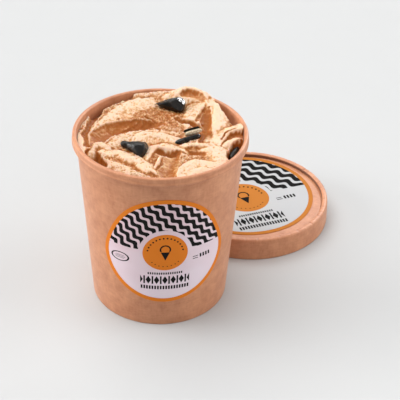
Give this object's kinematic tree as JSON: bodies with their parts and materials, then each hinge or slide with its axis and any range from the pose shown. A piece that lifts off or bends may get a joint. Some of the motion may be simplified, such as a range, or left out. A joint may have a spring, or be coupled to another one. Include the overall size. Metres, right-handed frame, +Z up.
{
  "type": "ice cream pint",
  "caption": "Open kraft paper tub full of scooped ice cream with chocolate-coated wafer pieces, its round paper lid lying beside it.",
  "frame": {"origin": "on the table, under the middle of the ground that tub and lid cover together", "axes": "+Z up; the tub's label faces -Y; the lid lies behind the tub, towards +X and +Y"},
  "size_m": [0.1512, 0.1684, 0.1063],
  "materials": {
    "kraft_paper": "matt",
    "label_paper": "satin",
    "ice_cream": "satin",
    "chocolate": "gloss",
    "wafer_biscuit": "matt"
  },
  "bodies": {
    "root": {"tub_wall": "kraft_paper", "tub_base": "kraft_paper", "lid_band": "kraft_paper", "lid_disc": "kraft_paper", "label_tub": "label_paper", "label_lid": "label_paper", "ice_cream": "ice_cream", "chocolate_back": "chocolate", "chocolate_front": "chocolate", "chocolate_edge": "chocolate", "wafer_bar": "chocolate", "wafer_core": "wafer_biscuit", "wafer_coat": "chocolate"}
  },
  "joints": []
}
